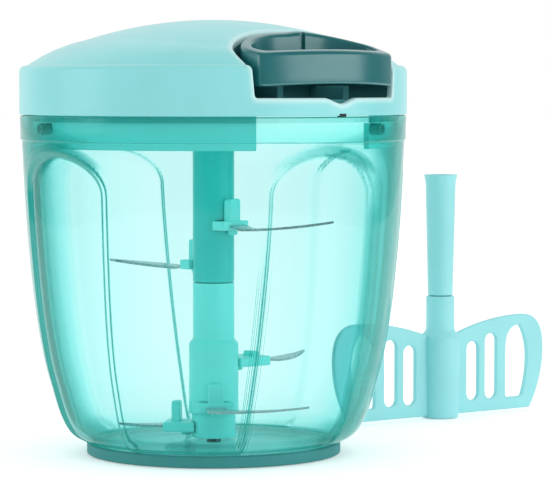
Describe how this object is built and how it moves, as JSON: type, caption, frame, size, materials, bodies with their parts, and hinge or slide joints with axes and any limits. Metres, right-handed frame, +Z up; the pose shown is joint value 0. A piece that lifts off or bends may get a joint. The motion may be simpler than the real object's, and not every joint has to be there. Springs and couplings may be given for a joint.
{
  "type": "food chopper",
  "caption": "Pull-cord food chopper: clear bowl on a non-slip base, lid with recoil cord drive and pull handle, bladed stem inside, and a separate mixing paddle.",
  "frame": {"origin": "centre of the underside of the non-slip base", "axes": "+Z up the bowl's axis; the handle pulls along -Y; the mixing paddle stands on the +X side"},
  "size_m": [0.2481, 0.134, 0.1497],
  "materials": {
    "clear_teal": "clear moulded plastic",
    "soft_base": "satin soft plastic",
    "mint_plastic": "glossy",
    "dark_teal": "glossy",
    "stem_plastic": "glossy",
    "white_plastic": "moulded",
    "silicone": "soft",
    "steel": "bright",
    "blade_steel": "ground",
    "spring_steel": "rolled",
    "cord": "braided"
  },
  "bodies": {
    "bowl": {"bowl": "clear_teal", "non_slip_base": "soft_base", "pivot_pin": "steel"},
    "seal": {"lid_seal": "silicone"},
    "lid": {"lid_cover": "mint_plastic", "lid_base": "stem_plastic", "recess_liner": "dark_teal", "cord_guide_bush": "steel", "spool_axle": "steel", "spring_cup": "mint_plastic", "lid_screw_1": "steel", "lid_screw_2": "steel", "lid_screw_3": "steel", "lid_screw_4": "steel"},
    "handle": {"pull_handle": "dark_teal", "cord_anchor": "dark_teal", "pull_cord": "cord"},
    "spool": {"spool": "white_plastic", "wound_cord": "cord", "recoil_spring": "spring_steel"},
    "drive": {"drive_hub": "white_plastic"},
    "blades": {"upper_stem": "stem_plastic", "lower_stem": "stem_plastic", "blade_clip_1": "stem_plastic", "blade_clip_2": "stem_plastic", "blade_clip_3": "stem_plastic", "blade_clip_4": "stem_plastic", "blade_clip_5": "stem_plastic", "blade_1": "blade_steel", "blade_2": "blade_steel", "blade_3": "blade_steel", "blade_4": "blade_steel", "blade_5": "blade_steel"},
    "paddle": {"mixing_paddle": "mint_plastic", "paddle_stem": "mint_plastic"}
  },
  "joints": [
    {"name": "lid_lift", "type": "slide", "parent": "bowl", "child": "seal", "axis": [0, 0, 1], "range_m": [0, 0.1]},
    {"name": "lid_turn", "type": "hinge", "parent": "seal", "child": "lid", "pos_m": [0, 0, 0.117], "axis": [0, 0, -1], "range_deg": [0, 12]},
    {"name": "handle_pull", "type": "slide", "parent": "lid", "child": "handle", "axis": [0, -1, 0], "range_m": [0, 0.3], "stiffness_N_per_m": 10, "springref_m": -0.1, "deforming": ["pull_cord"]},
    {"name": "spool_spin", "type": "hinge", "parent": "lid", "child": "spool", "pos_m": [0, 0, 0.128], "axis": [0, 0, 1], "range_deg": [-1250, 0], "deforming": ["recoil_spring"]},
    {"name": "drive_spin", "type": "hinge", "parent": "lid", "child": "drive", "pos_m": [0, 0, 0.121], "axis": [0, 0, 1], "range_deg": [-1250, 0]},
    {"name": "blade_spin", "type": "hinge", "parent": "bowl", "child": "blades", "pos_m": [0, 0, 0.01], "axis": [0, 0, 1], "range_deg": [-1250, 0]},
    {"name": "paddle_lift", "type": "slide", "parent": "bowl", "child": "paddle", "axis": [0, 0, 1], "range_m": [0, 0.1]}
  ],
  "couplings": [
    {"joint": "spool_spin", "follows": "handle_pull", "rad_per_m": -72.464},
    {"joint": "drive_spin", "follows": "handle_pull", "rad_per_m": -72.464},
    {"joint": "blade_spin", "follows": "handle_pull", "rad_per_m": -72.464}
  ]
}
